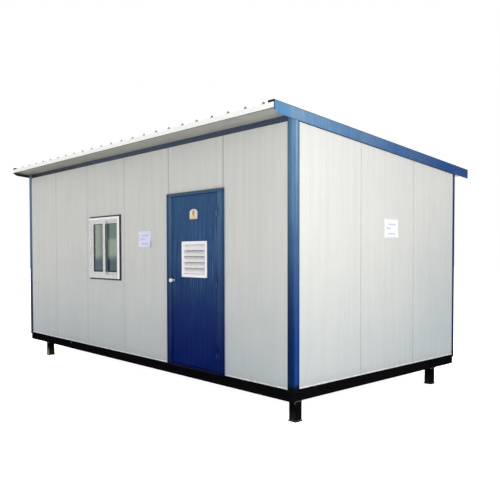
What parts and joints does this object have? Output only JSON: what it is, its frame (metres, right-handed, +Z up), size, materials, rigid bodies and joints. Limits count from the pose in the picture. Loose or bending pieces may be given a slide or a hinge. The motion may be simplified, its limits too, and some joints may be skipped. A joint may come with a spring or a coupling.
{
  "type": "prefabricated site office",
  "caption": "Lean-to cabin of ribbed sandwich panels on a steel base frame with legs, with a hinged louvred door and a sliding window.",
  "frame": {"origin": "on the ground below the middle of the roof in plan", "axes": "+Z up, +X to the right along the long front wall as seen from outside, front with door and window facing -Y"},
  "size_m": [6.03, 3.55, 2.9928],
  "materials": {
    "wall_panel": "off-white coated sheet with shallow ribs",
    "roof_panel": "off-white coated sheet, ribbed",
    "blue_trim": "semi-gloss blue",
    "track_navy": "semi-gloss blue",
    "base_steel": "black primer",
    "deck_board": "plywood",
    "door_paint": "semi-gloss blue",
    "hinge_steel": "zinc plated",
    "vent_white": "white",
    "knob_steel": "satin",
    "window_white": "white frame",
    "glass": "clear, slightly green"
  },
  "bodies": {
    "cabin": {"back_corner_trims": "blue_trim", "back_panel_1": "wall_panel", "back_panel_2": "wall_panel", "back_panel_3": "wall_panel", "back_panel_4": "wall_panel", "back_panel_5": "wall_panel", "back_panel_6": "wall_panel", "base_back_beam": "base_steel", "base_front_beam": "base_steel", "base_left_beam": "base_steel", "base_right_beam": "base_steel", "door_frame": "door_paint", "door_hinges": "hinge_steel", "floor_deck": "deck_board", "floor_joists": "base_steel", "front_corner_trims": "blue_trim", "front_over_door_panel": "wall_panel", "front_panel_1": "wall_panel", "front_panel_2": "wall_panel", "front_panel_4": "wall_panel", "front_panel_6": "wall_panel", "front_window_panel": "wall_panel", "head_tracks": "track_navy", "left_gable_panel_1": "wall_panel", "left_gable_panel_2": "wall_panel", "left_gable_panel_3": "wall_panel", "left_verge_trim": "blue_trim", "legs": "base_steel", "right_gable_panel_1": "wall_panel", "right_gable_panel_2": "wall_panel", "right_gable_panel_3": "wall_panel", "right_verge_trim": "blue_trim", "roof_panel_1": "roof_panel", "roof_panel_2": "roof_panel", "roof_panel_3": "roof_panel", "roof_panel_4": "roof_panel", "roof_panel_5": "roof_panel", "roof_panel_6": "roof_panel", "window_frame": "window_white", "window_glass": "glass", "window_left_sash": "window_white", "window_right_sash": "window_white"},
    "door": {"door_leaf": "door_paint", "door_vent": "vent_white"},
    "knob": {"door_knob": "knob_steel"}
  },
  "joints": [
    {"name": "door_swing", "type": "hinge", "parent": "cabin", "child": "door", "pos_m": [1.9225, -1.554, 1.3015], "axis": [0, 0, 1], "range_deg": [0, 110]},
    {"name": "knob_turn", "type": "hinge", "parent": "door", "child": "knob", "pos_m": [1.128, -1.53, 1.3], "axis": [0, 1, 0], "range_deg": [-60, 60], "stiffness_Nm_per_rad": 0.3}
  ]
}
